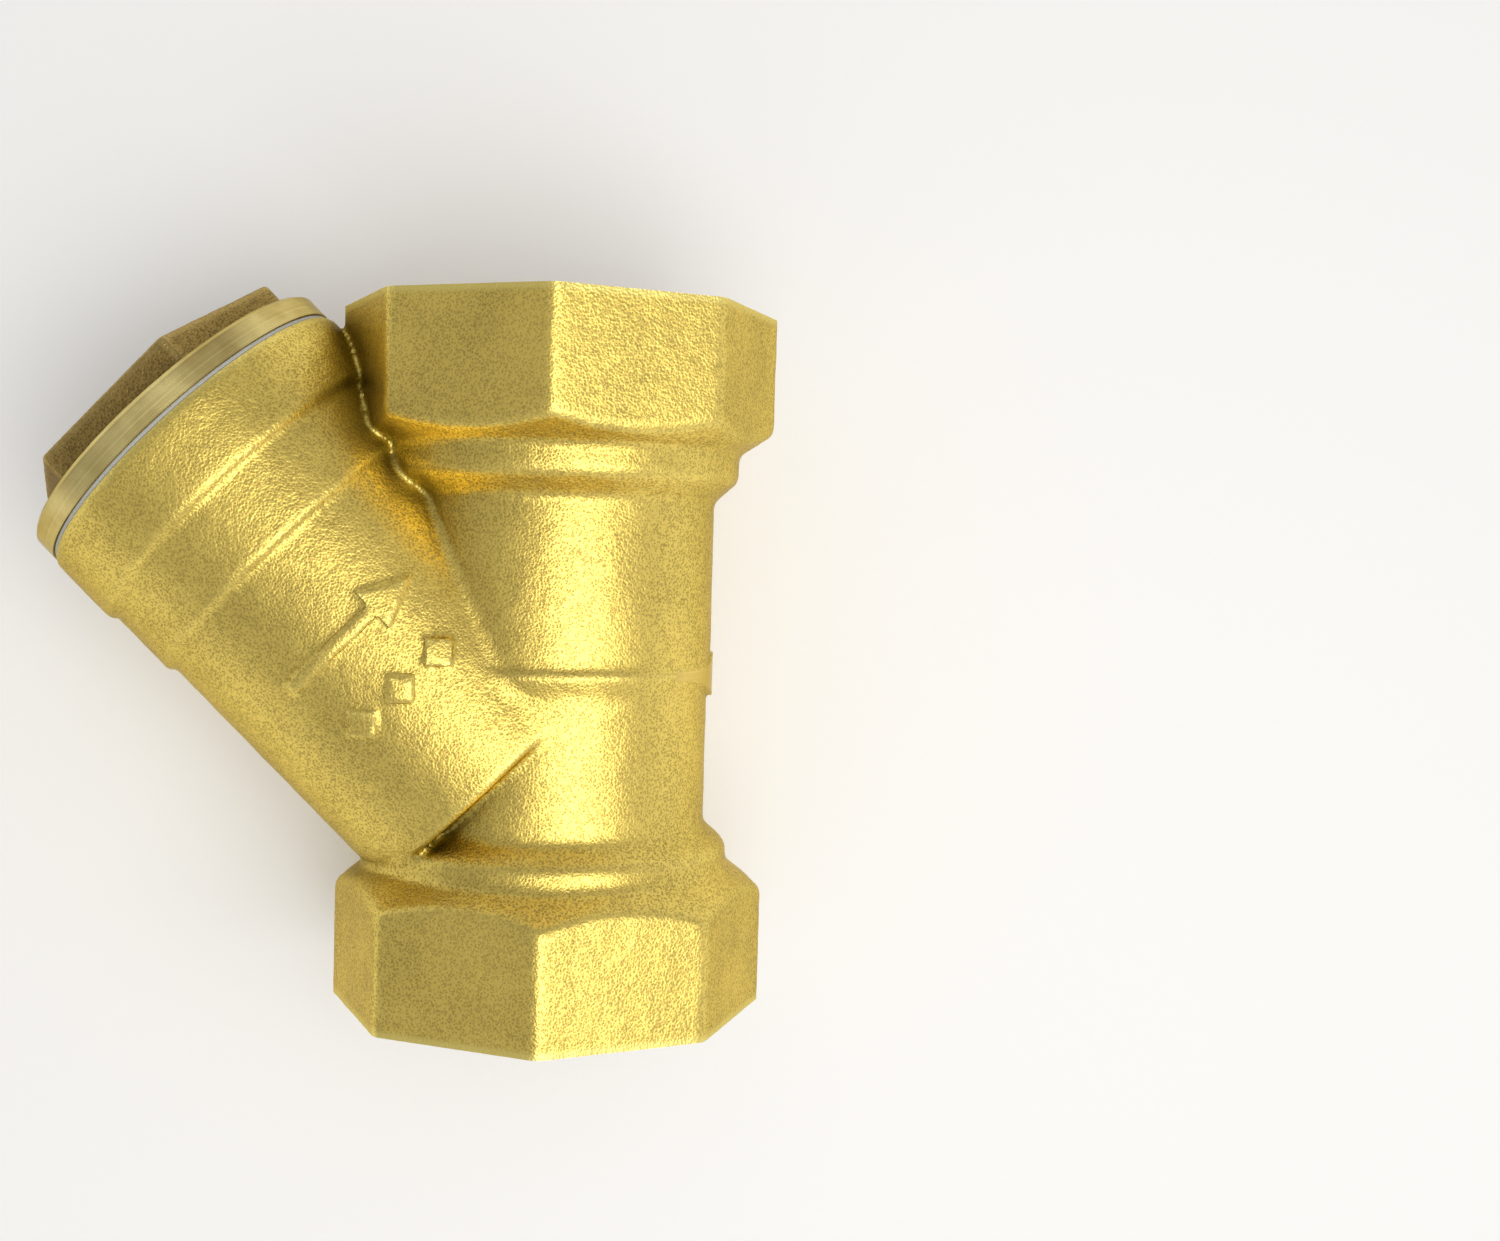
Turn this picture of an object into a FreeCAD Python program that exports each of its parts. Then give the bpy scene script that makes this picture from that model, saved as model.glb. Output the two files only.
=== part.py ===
import FreeCAD, Part
import math
import os
import re

# Brass Y strainer with G 1-1/4 ends, in millimetres.
# The origin is the centre of the inlet mouth, and +Y runs along the pipe run to the outlet.
# The strainer leg leans from the run towards -X, and Z is square to the plane of run and leg.
# The leg's pieces are drawn along their own Y axis and then placed in the leg frame, so
# "start" and "end" on the leg are distances from the point where its axis meets the run's.

SIZES = [
    ("run_length", 86.0, "inlet face to outlet face"),
    ("octagon_flats", 50.0, "across the flats of each threaded end"),
    ("octagon_slack", 0.2, "how far the corner trim stands off the corners"),
    ("inlet_octagon_end", 14.0, "where the inlet octagon's corners start to slope"),
    ("inlet_collar_start", 18.0, "where the slope meets the inlet collar"),
    ("inlet_collar_end", 20.2, "end of the inlet collar"),
    ("inlet_barrel_start", 22.8, "where the slope meets the lower barrel"),
    ("inlet_collar_radius", 22.2, "inlet collar"),
    ("lower_barrel_radius", 19.3, "run barrel below the ridge"),
    ("ridge_start", 38.5, "where the lower barrel flares"),
    ("ridge_crest", 42.4, "highest line of the ridge"),
    ("ridge_end", 43.2, "where the ridge meets the upper barrel"),
    ("ridge_radius", 20.3, "ridge crest"),
    ("upper_barrel_radius", 19.6, "run barrel above the ridge"),
    ("outlet_barrel_end", 63.0, "where the upper barrel slopes to the outlet collar"),
    ("outlet_collar_start", 65.6, "start of the outlet collar"),
    ("outlet_collar_end", 68.6, "end of the outlet collar"),
    ("outlet_octagon_start", 71.9, "where the outlet octagon's corners are full"),
    ("outlet_collar_radius", 22.6, "outlet collar"),
    ("leg_angle", 45.0, "between the run axis and the leg axis"),
    ("leg_origin", 24.0, "where the leg axis meets the run axis"),
    ("leg_root", 8.2, "flat ledge where the leg rises from the run"),
    ("leg_end", 63.2, "machined end face of the leg"),
    ("leg_lower_radius", 21.1, "leg next to the run"),
    ("leg_middle_radius", 21.8, "leg between its two steps"),
    ("leg_upper_radius", 22.5, "leg under the cap"),
    ("lower_step_start", 44.2, "start of the lower step"),
    ("lower_step_end", 45.3, "end of the lower step"),
    ("upper_step_start", 53.2, "start of the upper step"),
    ("upper_step_end", 54.8, "end of the upper step"),
    ("edge_chamfer", 0.4, "broken edge of the leg end and of the cap flange"),
    ("pipe_pitch", 2.309, "11 threads to the inch"),
    ("pipe_crest_radius", 19.476, "inside the crests of the pipe thread"),
    ("pipe_root_radius", 20.955, "roots of the pipe thread"),
    ("pipe_flank_angle", 27.5, "half the thread angle"),
    ("pipe_root_flat", 0.35, "width of the groove at its root"),
    ("pipe_sleeve_radius", 22.0, "outside of the threaded lining of each port"),
    ("mouth_radius", 21.4, "chamfer of each mouth at the face"),
    ("mouth_depth", 1.6, "depth of the mouth chamfer"),
    ("pipe_groove_end", 11.4, "face to the middle of the groove's last turn"),
    ("pipe_plain_start", 12.4, "face to the plain wall behind the thread"),
    ("pipe_plain_radius", 19.576, "plain wall behind the thread, first half"),
    ("pipe_plain_middle", 13.0, "face to the second half of the plain wall"),
    ("pipe_plain_outer", 19.636, "plain wall behind the thread, second half"),
    ("pipe_plain_end", 13.6, "face to the end of the plain wall"),
    ("pipe_relief_depth", 14.8, "face to the end of the relief"),
    ("pipe_relief_radius", 21.2, "relief groove behind the plain wall"),
    ("band_depth", 17.0, "face to the end of the plain band"),
    ("band_radius", 18.6, "plain band behind the thread"),
    ("cavity_radius", 16.0, "flow cavity in the run"),
    ("cavity_slope", 1.2, "length of the slopes at the cavity's two ends"),
    ("cavity_floor_radius", 13.0, "flat floor of each blind cavity"),
    ("inlet_cavity_end", 37.0, "blind end of the inlet cavity"),
    ("outlet_cavity_start", 42.0, "blind end of the outlet cavity"),
    ("seat_wall", 2.4, "inlet side of the screen's seat, along the leg"),
    ("seat_shoulder", 4.0, "shoulder that the screen stands on"),
    ("seat_land_end", 9.0, "end of the land that holds the screen's foot"),
    ("seat_hole_radius", 14.0, "hole in the seat"),
    ("seat_land_radius", 15.15, "land round the screen's foot"),
    ("chamber_radius", 16.5, "chamber round the screen"),
    ("cap_thread_start", 53.0, "end of the cap thread's relief"),
    ("cap_relief_start", 52.0, "start of the cap thread's relief"),
    ("pipe_groove_turn", 200.0, "where each pipe thread's groove begins, in degrees"),
    ("leg_groove_turn", 200.0, "where the leg thread's groove begins"),
    ("cap_groove_turn", 200.0, "where the cap thread's groove begins"),
    ("cap_pitch", 2.0, "cap thread pitch"),
    ("cap_flank_angle", 30.0, "half the cap thread's angle"),
    ("cap_root_flat", 0.5, "width of the cap thread's groove at its root"),
    ("leg_crest_radius", 18.9, "inside the crests of the leg's thread"),
    ("leg_root_radius", 19.9, "roots of the leg's thread"),
    ("leg_sleeve_radius", 21.0, "outside of the threaded lining of the leg"),
    ("leg_relief_radius", 20.1, "relief at the end of the leg's thread"),
    ("spigot_crest_radius", 18.75, "outside the crests of the cap's thread"),
    ("spigot_root_radius", 17.75, "roots of the cap's thread"),
    ("spigot_relief_radius", 17.5, "relief under the cap flange"),
    ("spigot_start", 55.0, "open end of the cap's spigot"),
    ("spigot_relief_start", 62.5, "start of the relief under the flange"),
    ("spigot_bore_radius", 15.6, "recess that takes the screen's head"),
    ("recess_floor", 63.3, "floor of the recess in the cap"),
    ("gasket_thickness", 0.6, "flat gasket"),
    ("gasket_inner_radius", 19.2, "gasket"),
    ("gasket_outer_radius", 22.0, "gasket"),
    ("flange_radius", 22.2, "cap flange"),
    ("flange_end", 66.9, "outer face of the cap flange"),
    ("hex_flats", 34.4, "across the flats of the cap's head"),
    ("hex_turn", 53.0, "turn of the head's hexagon about the leg axis"),
    ("hex_end", 71.0, "top of the cap's head"),
    ("screen_outer_radius", 15.0, "strainer screen"),
    ("screen_wall", 0.4, "sheet thickness of the screen"),
    ("screen_end", 63.2, "head of the screen, inside the cap"),
    ("pad_centre", 41.5, "diamond inspection pad on the run, along the run"),
    ("pad_half_height", 2.8, "pad, along the run"),
    ("pad_half_width", 9.4, "pad, across the run"),
    ("pad_radius", 20.6, "machined face of the pad, from the run axis"),
    ("relief_height", 0.5, "height of the cast marks on the leg"),
    ("arrow_station", 32.0, "cast arrow, along the leg"),
    ("arrow_length", 19.0, "cast arrow, across the leg"),
    ("arrow_shaft", 1.6, "width of the arrow's shaft"),
    ("arrow_head", 5.6, "width and length of the arrow's head"),
    ("mark_station", 23.5, "row of cast diamonds, along the leg"),
    ("mark_spacing", 6.0, "between the cast diamonds"),
    ("mark_half_size", 2.2, "half of each cast diamond"),
]

ALIAS = re.compile(r"\b([a-z]+(?:_[a-z]+)+)\b")
OVERRUN = 1.5  # how far a cutter runs past the face that it cuts through
THREAD_LEAD = 0.2  # how far a thread groove starts clear of the crests
FAR = 80.0  # larger than any part of the fitting
THREAD_CUTS = []

doc = FreeCAD.newDocument("y_strainer")
sheet = doc.addObject("Spreadsheet::Sheet", "Sizes")


def fill_sheet():
    for row, (alias, value, note) in enumerate(SIZES, start=1):
        sheet.set(f"A{row}", str(value))
        sheet.setAlias(f"A{row}", alias)
        sheet.set(f"B{row}", note)
    doc.recompute()


def formula(text):
    """Points every size in an expression at the spreadsheet."""
    return ALIAS.sub(r"Sizes.\1", text)


def size(alias):
    return float(sheet.get(alias))


def bind(obj, **expressions):
    for prop, text in expressions.items():
        obj.setExpression(prop, formula(text))
    return obj


def along_y(obj, start):
    """Lays a piece that is drawn along Z on the Y axis, from start."""
    obj.Placement = FreeCAD.Placement(
        FreeCAD.Vector(0, 0, 0), FreeCAD.Rotation(FreeCAD.Vector(1, 0, 0), -90)
    )
    obj.setExpression("Placement.Base.y", formula(start))
    return obj


def fuse(name, pieces, refine=True):
    """Joins the pieces. Threaded faces stay unrefined, because merging them spoils the solid."""
    obj = doc.addObject("Part::MultiFuse", name)
    obj.Shapes = pieces
    obj.Refine = refine
    return obj


def common(name, base, tool):
    obj = doc.addObject("Part::Common", name)
    obj.Base = base
    obj.Tool = tool
    return obj


def cut(name, base, tool):
    obj = doc.addObject("Part::Cut", name)
    obj.Base = base
    obj.Tool = tool
    return obj


def group(name, pieces):
    obj = doc.addObject("Part::Compound", name)
    obj.Links = pieces
    return obj


def turned(name, stations):
    """A turned solid on the Y axis, through a list of (place along the axis, radius)."""
    pieces = []
    for index, ((start, near), (end, far)) in enumerate(zip(stations, stations[1:])):
        kind = "Part::Cylinder" if near == far else "Part::Cone"
        piece = doc.addObject(kind, f"{name}_{index}")
        if near == far:
            bind(piece, Radius=near)
        else:
            bind(piece, Radius1=near, Radius2=far)
        bind(piece, Height=f"({end}) - ({start})")
        pieces.append(along_y(piece, start))
    return fuse(name, pieces) if len(pieces) > 1 else group(name, pieces)


def prism(name, sides, flats, start, end, turn="0"):
    """A prism on the Y axis, sized across its flats."""
    piece = doc.addObject("Part::Prism", f"{name}_prism")
    piece.Polygon = sides
    bind(piece, Circumradius=f"({flats}) / 2 / cos(180 / {sides})")
    bind(piece, Height=f"({end}) - ({start})")
    holder = group(name, [along_y(piece, start)])
    holder.Placement.Rotation = FreeCAD.Rotation(FreeCAD.Vector(0, 1, 0), 1)
    holder.setExpression("Placement.Rotation.Angle", formula(turn))
    return holder


def in_leg_frame(obj):
    """Moves a piece that is drawn on the Y axis to the leg's axis."""
    obj.Placement.Rotation = FreeCAD.Rotation(FreeCAD.Vector(0, 0, 1), 1)
    obj.setExpression("Placement.Rotation.Angle", formula("leg_angle"))
    obj.setExpression("Placement.Base.y", formula("leg_origin"))
    return obj


def thread_groove(name, thread, radii, start, end):
    """The V groove of a right-hand thread on the Y axis, cut from one radius to the other.

    thread is the pitch, the flank angle and the flat at the root. radii is the open side's
    radius and the root's, so an inside thread runs outwards and an outside one inwards.
    The groove's first turn begins at an angle of its own, named after the groove.
    """
    pitch, flank, flat = thread
    open_radius, root_radius = radii
    half_root = flat / 2
    half_open = half_root + abs(root_radius - open_radius) * math.tan(math.radians(flank))
    corners = [
        FreeCAD.Vector(open_radius, 0, -half_open),
        FreeCAD.Vector(root_radius, 0, -half_root),
        FreeCAD.Vector(root_radius, 0, half_root),
        FreeCAD.Vector(open_radius, 0, half_open),
    ]
    outline = Part.makePolygon(corners + corners[:1])
    sweep = Part.BRepOffsetAPI.MakePipeShell(Part.makeHelix(pitch, end - start, open_radius))
    sweep.setBiNormalMode(FreeCAD.Vector(0, 0, 1))
    sweep.add(outline)
    sweep.build()
    sweep.makeSolid()
    obj = doc.addObject("Part::Feature", name)
    obj.Shape = sweep.shape()
    first_turn = FreeCAD.Rotation(FreeCAD.Vector(0, 0, 1), size(f"{name}_turn"))
    onto_y = FreeCAD.Rotation(FreeCAD.Vector(1, 0, 0), -90)
    obj.Placement = FreeCAD.Placement(FreeCAD.Vector(0, start, 0), onto_y * first_turn)
    return obj


def cut_thread(name, blank, groove):
    """Cuts a thread and remembers it, because a helical cut that misses shows no error."""
    threaded = cut(name, blank, groove)
    THREAD_CUTS.append(threaded)
    return threaded


def plate(name, outline):
    """A flat outline in the XY plane, raised far enough to pass through the leg's upper side."""
    points = [FreeCAD.Vector(across, along, 0) for across, along in outline]
    obj = doc.addObject("Part::Feature", name)
    face = Part.Face(Part.makePolygon(points + points[:1]))
    obj.Shape = face.extrude(FreeCAD.Vector(0, 0, size("leg_end")))
    return obj


def outer_run():
    return turned(
        "run_outside",
        [
            ("inlet_octagon_end / 2", "inlet_collar_radius"),
            ("inlet_collar_end", "inlet_collar_radius"),
            ("inlet_barrel_start", "lower_barrel_radius"),
            ("ridge_start", "lower_barrel_radius"),
            ("ridge_crest", "ridge_radius"),
            ("ridge_end", "upper_barrel_radius"),
            ("outlet_barrel_end", "upper_barrel_radius"),
            ("outlet_collar_start", "outlet_collar_radius"),
            ("outlet_collar_end + 3", "outlet_collar_radius"),
        ],
    )


def octagon_ends():
    corner = "octagon_flats / 2 / cos(22.5) + octagon_slack"
    inlet_trim = turned(
        "inlet_trim",
        [
            ("0", corner),
            ("inlet_octagon_end", corner),
            ("inlet_collar_start", "inlet_collar_radius"),
        ],
    )
    outlet_trim = turned(
        "outlet_trim",
        [
            ("outlet_collar_end", "outlet_collar_radius"),
            ("outlet_octagon_start", corner),
            ("run_length", corner),
        ],
    )
    inlet = prism("inlet_octagon", 8, "octagon_flats", "0", "inlet_collar_start")
    outlet = prism("outlet_octagon", 8, "octagon_flats", "outlet_collar_end", "run_length")
    return [
        common("inlet_end", inlet, inlet_trim),
        common("outlet_end", outlet, outlet_trim),
    ]


def outer_leg():
    return in_leg_frame(
        turned(
            "leg_outside",
            [
                ("leg_root", "leg_lower_radius"),
                ("lower_step_start", "leg_lower_radius"),
                ("lower_step_end", "leg_middle_radius"),
                ("upper_step_start", "leg_middle_radius"),
                ("upper_step_end", "leg_upper_radius"),
                ("leg_end - edge_chamfer", "leg_upper_radius"),
                ("leg_end", "leg_upper_radius - edge_chamfer"),
            ],
        )
    )


def inspection_pad():
    """The small machined diamond on the side of the run away from the leg."""
    half_height = size("pad_half_height")
    half_width = size("pad_half_width")
    centre = size("pad_centre")
    corners = [
        FreeCAD.Vector(0, centre - half_height, 0),
        FreeCAD.Vector(0, centre, half_width),
        FreeCAD.Vector(0, centre + half_height, 0),
        FreeCAD.Vector(0, centre, -half_width),
    ]
    block = doc.addObject("Part::Feature", "pad_block")
    face = Part.Face(Part.makePolygon(corners + corners[:1]))
    block.Shape = face.extrude(FreeCAD.Vector(size("octagon_flats"), 0, 0))
    reach = turned(
        "pad_reach",
        [
            ("pad_centre - 2 * pad_half_height", "pad_radius"),
            ("pad_centre + 2 * pad_half_height", "pad_radius"),
        ],
    )
    return common("inspection_pad", block, reach)


def arrow_outline():
    half_length = size("arrow_length") / 2
    half_shaft = size("arrow_shaft") / 2
    head = size("arrow_head")
    station = size("arrow_station")
    neck = half_length - head
    return [
        (-half_length, station - half_shaft),
        (neck, station - half_shaft),
        (neck, station - head / 2),
        (half_length, station),
        (neck, station + head / 2),
        (neck, station + half_shaft),
        (-half_length, station + half_shaft),
    ]


def diamond_outline(across):
    half = size("mark_half_size")
    station = size("mark_station")
    return [
        (across - half, station),
        (across, station - half),
        (across + half, station),
        (across, station + half),
    ]


def cast_marks():
    """A flow arrow and a row of plain diamonds, raised on the leg."""
    plates = [plate("arrow_plate", arrow_outline())]
    for index in (-1, 0, 1):
        across = index * size("mark_spacing")
        plates.append(plate(f"diamond_plate_{index + 1}", diamond_outline(across)))
    reach = turned(
        "marks_reach",
        [
            ("leg_root", "leg_lower_radius + relief_height"),
            ("lower_step_start", "leg_lower_radius + relief_height"),
        ],
    )
    return in_leg_frame(common("cast_marks", group("mark_plates", plates), reach))


def at_outlet(name, pieces):
    """A second copy of the inlet's pieces, turned round to face out of the outlet."""
    obj = group(name, pieces)
    obj.Placement.Rotation = FreeCAD.Rotation(FreeCAD.Vector(0, 0, 1), 180)
    obj.setExpression("Placement.Base.y", formula("run_length"))
    return obj


def port_room():
    """The inside of a threaded end, with the room for its threaded sleeve."""
    room = turned(
        "port_sleeve_room",
        [("0", "pipe_sleeve_radius"), ("pipe_plain_end", "pipe_sleeve_radius")],
    )
    relief = turned(
        "port_relief",
        [
            ("pipe_plain_end", "pipe_relief_radius"),
            ("pipe_relief_depth", "pipe_relief_radius"),
        ],
    )
    band = turned(
        "port_band",
        [
            ("pipe_relief_depth", "band_radius"),
            ("band_depth", "band_radius"),
            ("band_depth + cavity_slope", "cavity_radius"),
        ],
    )
    return fuse("port_room", [room, relief, band])


def port_sleeve():
    """The threaded lining of a port, from the face to the end of the thread."""
    lining = turned(
        "port_lining", [("0", "pipe_sleeve_radius"), ("pipe_plain_end", "pipe_sleeve_radius")]
    )
    bore = turned(
        "port_bore",
        [
            ("0", "mouth_radius"),
            ("mouth_depth", "pipe_crest_radius"),
            ("pipe_plain_start", "pipe_crest_radius"),
            ("pipe_plain_start + 0.1", "pipe_plain_radius"),
            ("pipe_plain_middle", "pipe_plain_radius"),
            ("pipe_plain_middle + 0.06", "pipe_plain_outer"),
            ("pipe_plain_end", "pipe_plain_outer"),
        ],
    )
    thread = (size("pipe_pitch"), size("pipe_flank_angle"), size("pipe_root_flat"))
    radii = (size("pipe_crest_radius") - THREAD_LEAD, size("pipe_root_radius"))
    groove = thread_groove("pipe_groove", thread, radii, -OVERRUN, size("pipe_groove_end"))
    return cut_thread("port_sleeve", cut("port_sleeve_blank", lining, bore), groove)


def inlet_cavity():
    """The blind inlet cavity, closed on the leg's side by the screen's seat wall."""
    cavity = turned(
        "inlet_cavity_whole",
        [
            ("pipe_relief_depth", "cavity_radius"),
            ("inlet_cavity_end - cavity_slope", "cavity_radius"),
            ("inlet_cavity_end", "cavity_floor_radius"),
        ],
    )
    near_side = in_leg_frame(
        turned("seat_near_side", [(f"-{FAR}", f"{FAR}"), ("seat_wall", f"{FAR}")])
    )
    return common("inlet_cavity", cavity, near_side)


def outlet_cavity():
    return turned(
        "outlet_cavity",
        [
            ("outlet_cavity_start", "cavity_floor_radius"),
            ("outlet_cavity_start + cavity_slope", "cavity_radius"),
            ("run_length - pipe_relief_depth", "cavity_radius"),
        ],
    )


def leg_room():
    """Seat hole, screen land and chamber, and the room for the leg's threaded sleeve."""
    seat = turned(
        "seat_hole", [("seat_wall / 2", "seat_hole_radius"), ("seat_shoulder", "seat_hole_radius")]
    )
    land = turned(
        "screen_land",
        [
            ("seat_shoulder", "seat_land_radius"),
            ("seat_land_end", "seat_land_radius"),
            ("seat_land_end + cavity_slope", "chamber_radius"),
            ("cap_relief_start", "chamber_radius"),
        ],
    )
    relief = turned(
        "leg_relief",
        [("cap_relief_start", "leg_relief_radius"), ("cap_thread_start", "leg_relief_radius")],
    )
    room = turned(
        "leg_sleeve_room",
        [("cap_thread_start", "leg_sleeve_radius"), ("leg_end", "leg_sleeve_radius")],
    )
    return in_leg_frame(fuse("leg_room", [seat, land, relief, room]))


def leg_sleeve():
    """The threaded lining of the leg, which takes the cap."""
    lining = turned(
        "leg_lining", [("cap_thread_start", "leg_sleeve_radius"), ("leg_end", "leg_sleeve_radius")]
    )
    bore = turned(
        "leg_thread_bore",
        [
            ("cap_thread_start", "leg_crest_radius"),
            ("leg_end - (leg_relief_radius - leg_crest_radius)", "leg_crest_radius"),
            ("leg_end", "leg_relief_radius"),
        ],
    )
    thread = (size("cap_pitch"), size("cap_flank_angle"), size("cap_root_flat"))
    radii = (size("leg_crest_radius") - THREAD_LEAD, size("leg_root_radius"))
    start = (size("cap_relief_start") + size("cap_thread_start")) / 2
    groove = thread_groove("leg_groove", thread, radii, start, size("leg_end") + OVERRUN)
    return in_leg_frame(cut_thread("leg_sleeve", cut("leg_sleeve_blank", lining, bore), groove))


def strainer_body():
    outside = [outer_run(), *octagon_ends(), outer_leg(), inspection_pad(), cast_marks()]
    inlet_room = port_room()
    inside = [inlet_room, at_outlet("outlet_room", [inlet_room]), inlet_cavity(), outlet_cavity()]
    inside.append(leg_room())
    casting = cut("casting", fuse("casting_outside", outside), fuse("casting_inside", inside))
    inlet_sleeve = port_sleeve()
    outlet_sleeve = at_outlet("outlet_sleeve", [inlet_sleeve])
    sleeves = [inlet_sleeve, outlet_sleeve, leg_sleeve()]
    return fuse("body_whole", [casting, *sleeves], refine=False)


def spigot():
    """The hollow threaded spigot of the cap, up to the neck under the flange."""
    outside = turned(
        "spigot_outside",
        [
            ("spigot_start", "spigot_root_radius"),
            ("spigot_start + (spigot_crest_radius - spigot_root_radius)", "spigot_crest_radius"),
            ("spigot_relief_start", "spigot_crest_radius"),
        ],
    )
    bore = turned(
        "spigot_bore",
        [("spigot_start", "spigot_bore_radius"), ("spigot_relief_start", "spigot_bore_radius")],
    )
    thread = (size("cap_pitch"), size("cap_flank_angle"), size("cap_root_flat"))
    radii = (size("spigot_crest_radius") + THREAD_LEAD, size("spigot_root_radius"))
    end = (size("spigot_relief_start") + size("leg_end")) / 2
    groove = thread_groove("cap_groove", thread, radii, size("spigot_start") - OVERRUN, end)
    return cut_thread("spigot", cut("spigot_blank", outside, bore), groove)


def screw_cap():
    """Turned flange and hollow spigot with an outside thread, and a cast hexagon head."""
    underside = "leg_end + gasket_thickness"
    flange = turned(
        "cap_flange",
        [
            (underside, "flange_radius"),
            ("flange_end - edge_chamfer", "flange_radius"),
            ("flange_end", "flange_radius - edge_chamfer"),
        ],
    )
    head = prism("cap_head", 6, "hex_flats", "flange_end - 1", "hex_end", "hex_turn")
    neck = turned(
        "cap_neck",
        [("spigot_relief_start", "spigot_relief_radius"), (underside, "spigot_relief_radius")],
    )
    recess = turned(
        "cap_recess",
        [("spigot_relief_start", "spigot_bore_radius"), ("recess_floor", "spigot_bore_radius")],
    )
    top = cut("cap_top", fuse("cap_top_outside", [flange, head, neck]), recess)
    return in_leg_frame(fuse("cap_whole", [top, spigot()]))


def ring(name, inner, outer, start, end):
    """A plain ring or tube on the leg's axis."""
    body = turned(f"{name}_outside", [(start, outer), (end, outer)])
    hole = turned(f"{name}_hole", [(start, inner), (end, inner)])
    return in_leg_frame(cut(name, body, hole))


def cap_gasket():
    end = "leg_end + gasket_thickness"
    return ring("gasket_ring", "gasket_inner_radius", "gasket_outer_radius", "leg_end", end)


def screen():
    inner = "screen_outer_radius - screen_wall"
    return ring("screen_tube", inner, "screen_outer_radius", "seat_shoulder", "screen_end")


def check_document():
    for obj in doc.Objects:
        if "Invalid" in obj.State or "Error" in obj.State:
            raise RuntimeError(f"{obj.Name} failed: {obj.State}")
    for threaded in THREAD_CUTS:
        groove = threaded.Tool.Shape.Volume
        removed = threaded.Base.Shape.Volume - threaded.Shape.Volume
        print(f"{threaded.Name}: removed {removed:.0f} of the groove's {groove:.0f} mm3")
        if not 0.4 * groove < removed < groove:
            raise RuntimeError(f"{threaded.Name} has no proper thread")


def check_part(label, obj):
    shape = obj.Shape
    if shape.isNull() or not shape.isValid() or len(shape.Solids) != 1:
        raise RuntimeError(f"{label} is not one valid solid")
    box = shape.BoundBox
    print(f"{label}: {shape.Volume:.0f} mm3, {len(shape.Faces)} faces,")
    print(f"  X {box.XMin:.2f} {box.XMax:.2f} Y {box.YMin:.2f} {box.YMax:.2f}")
    print(f"  Z {box.ZMin:.2f} {box.ZMax:.2f}")


fill_sheet()
PARTS = {
    "body": strainer_body(),
    "screw_cap": screw_cap(),
    "cap_gasket": cap_gasket(),
    "screen": screen(),
}
doc.recompute()
check_document()
os.makedirs("parts", exist_ok=True)
for label, obj in PARTS.items():
    obj.Label = label
    check_part(label, obj)
    obj.Shape.exportStep(f"parts/{label}.step")
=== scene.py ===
import math

import bpy
import numpy as np
from mathutils import Matrix, Vector, noise


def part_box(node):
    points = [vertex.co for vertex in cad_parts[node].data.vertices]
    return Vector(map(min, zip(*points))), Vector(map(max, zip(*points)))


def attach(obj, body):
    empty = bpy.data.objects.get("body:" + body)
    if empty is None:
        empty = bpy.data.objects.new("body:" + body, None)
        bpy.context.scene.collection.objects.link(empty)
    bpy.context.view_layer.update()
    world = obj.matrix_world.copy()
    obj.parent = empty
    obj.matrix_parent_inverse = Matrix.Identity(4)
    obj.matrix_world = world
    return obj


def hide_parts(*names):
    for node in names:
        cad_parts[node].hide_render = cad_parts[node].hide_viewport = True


# Brass Y strainer. Shapes are worked out in millimetres and put in the scene in metres.
# +Y runs from the inlet to the outlet, the leg leans towards -X, and Z is up.
# The leg's pieces are drawn along their own Y axis, so "along" on the leg is the distance
# from the point where its axis meets the run's.

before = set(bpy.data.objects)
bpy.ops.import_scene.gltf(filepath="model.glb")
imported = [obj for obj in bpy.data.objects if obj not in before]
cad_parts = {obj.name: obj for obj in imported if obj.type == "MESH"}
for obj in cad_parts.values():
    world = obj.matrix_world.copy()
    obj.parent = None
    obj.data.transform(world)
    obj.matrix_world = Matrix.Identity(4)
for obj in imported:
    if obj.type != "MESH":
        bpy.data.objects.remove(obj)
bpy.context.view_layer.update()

MM = 0.001
RUN_LENGTH = 1000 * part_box("body")[1].y
LEG_ORIGIN = 24.0
LEG_TURN = 45.0
LEG_ROOT = 8.2
LEG_END = 63.2
OCTAGON_FLATS = 50.0
RUN_OUTLINE = [
    (-6, 22.2),
    (20.2, 22.2),
    (22.8, 19.3),
    (39.6, 19.3),
    (42.3, 20.35),
    (42.9, 19.7),
    (63.0, 19.6),
    (65.6, 22.6),
    (92, 22.6),
]
INLET_TRIM = [(-6, 27.2), (14.0, 27.2), (18.0, 22.2), (26.0, 12.2)]
OUTLET_TRIM = [(60.6, 12.2), (68.6, 22.2), (71.9, 27.2), (92, 27.2)]
LEG_RADIUS = 21.1
LEG_OUTLINE = [
    (-6, LEG_RADIUS),
    (44.4, LEG_RADIUS),
    (45.0, 21.8),
    (53.7, 21.8),
    (54.4, 22.5),
    (62.8, 22.5),
    (63.2, 22.1),
    (70, 22.1),
]
STUB = 1.4  # how far the casting stands past its machined faces before they are cut
MARK_RISE = 0.5
OCTAGON_EDGE = 0.9
CAP_FLATS = 34.4
CAP_FIRST_CORNER = 67
CAP_HEAD_END = 71.0
CAP_FLANGE_END = 66.9
PIPE_CREST = 19.476
PIPE_ROOT = 20.955
PIPE_PITCH = 2.309
PIPE_GROOVE_END = 11.4
CAP_PITCH = 2.0
PAD_PLACE = 41.5
PAD_RADIUS = 20.0
GASKET = (63.2, 63.8, 19.2, 22.0)
SCREEN_START = 4.0
SCREEN_END = 63.2
SCREEN_OUTER = 15.0
SCREEN_INNER = 14.6
TURNED_STEPS = 224  # sides of a turned surface
THREAD_STEPS = 96  # places on one turn of a thread
FAR = 9.0  # a distance well outside a field
BODY_GRID = 0.46
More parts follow.
